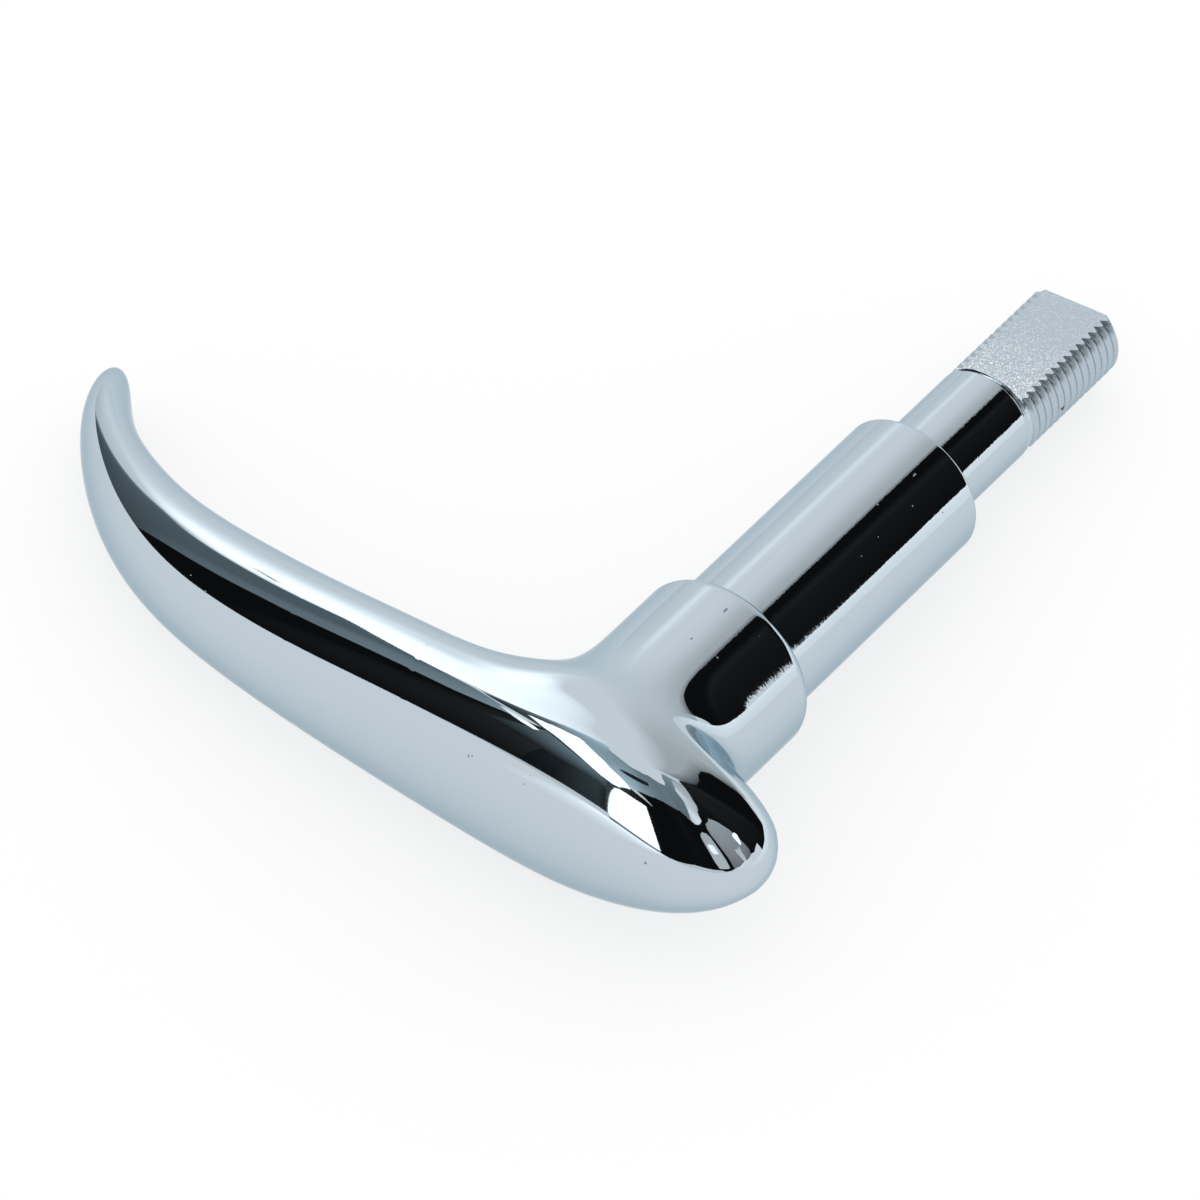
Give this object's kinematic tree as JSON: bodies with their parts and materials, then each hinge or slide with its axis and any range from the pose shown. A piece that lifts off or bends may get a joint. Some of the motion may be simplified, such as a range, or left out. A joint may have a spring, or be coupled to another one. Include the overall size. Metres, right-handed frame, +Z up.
{
  "type": "engine lid handle",
  "caption": "Chrome-plated L-shaped lever with a boss, a journal that turns in an engine lid, and a threaded end with two flats that drives the latch.",
  "frame": {"origin": "on the shaft axis, in the plane of the boss shoulder that seats on the lid", "axes": "+Y along the shaft to its threaded end, -X along the lever to its tip, +Z square to the lever's plane of symmetry; at rest the handle lies on its side with +Z up"},
  "size_m": [0.09, 0.0821, 0.022],
  "materials": {
    "chrome": "polished plating, cast texture on the two flats"
  },
  "bodies": {
    "root": {"handle": "chrome"}
  },
  "joints": []
}
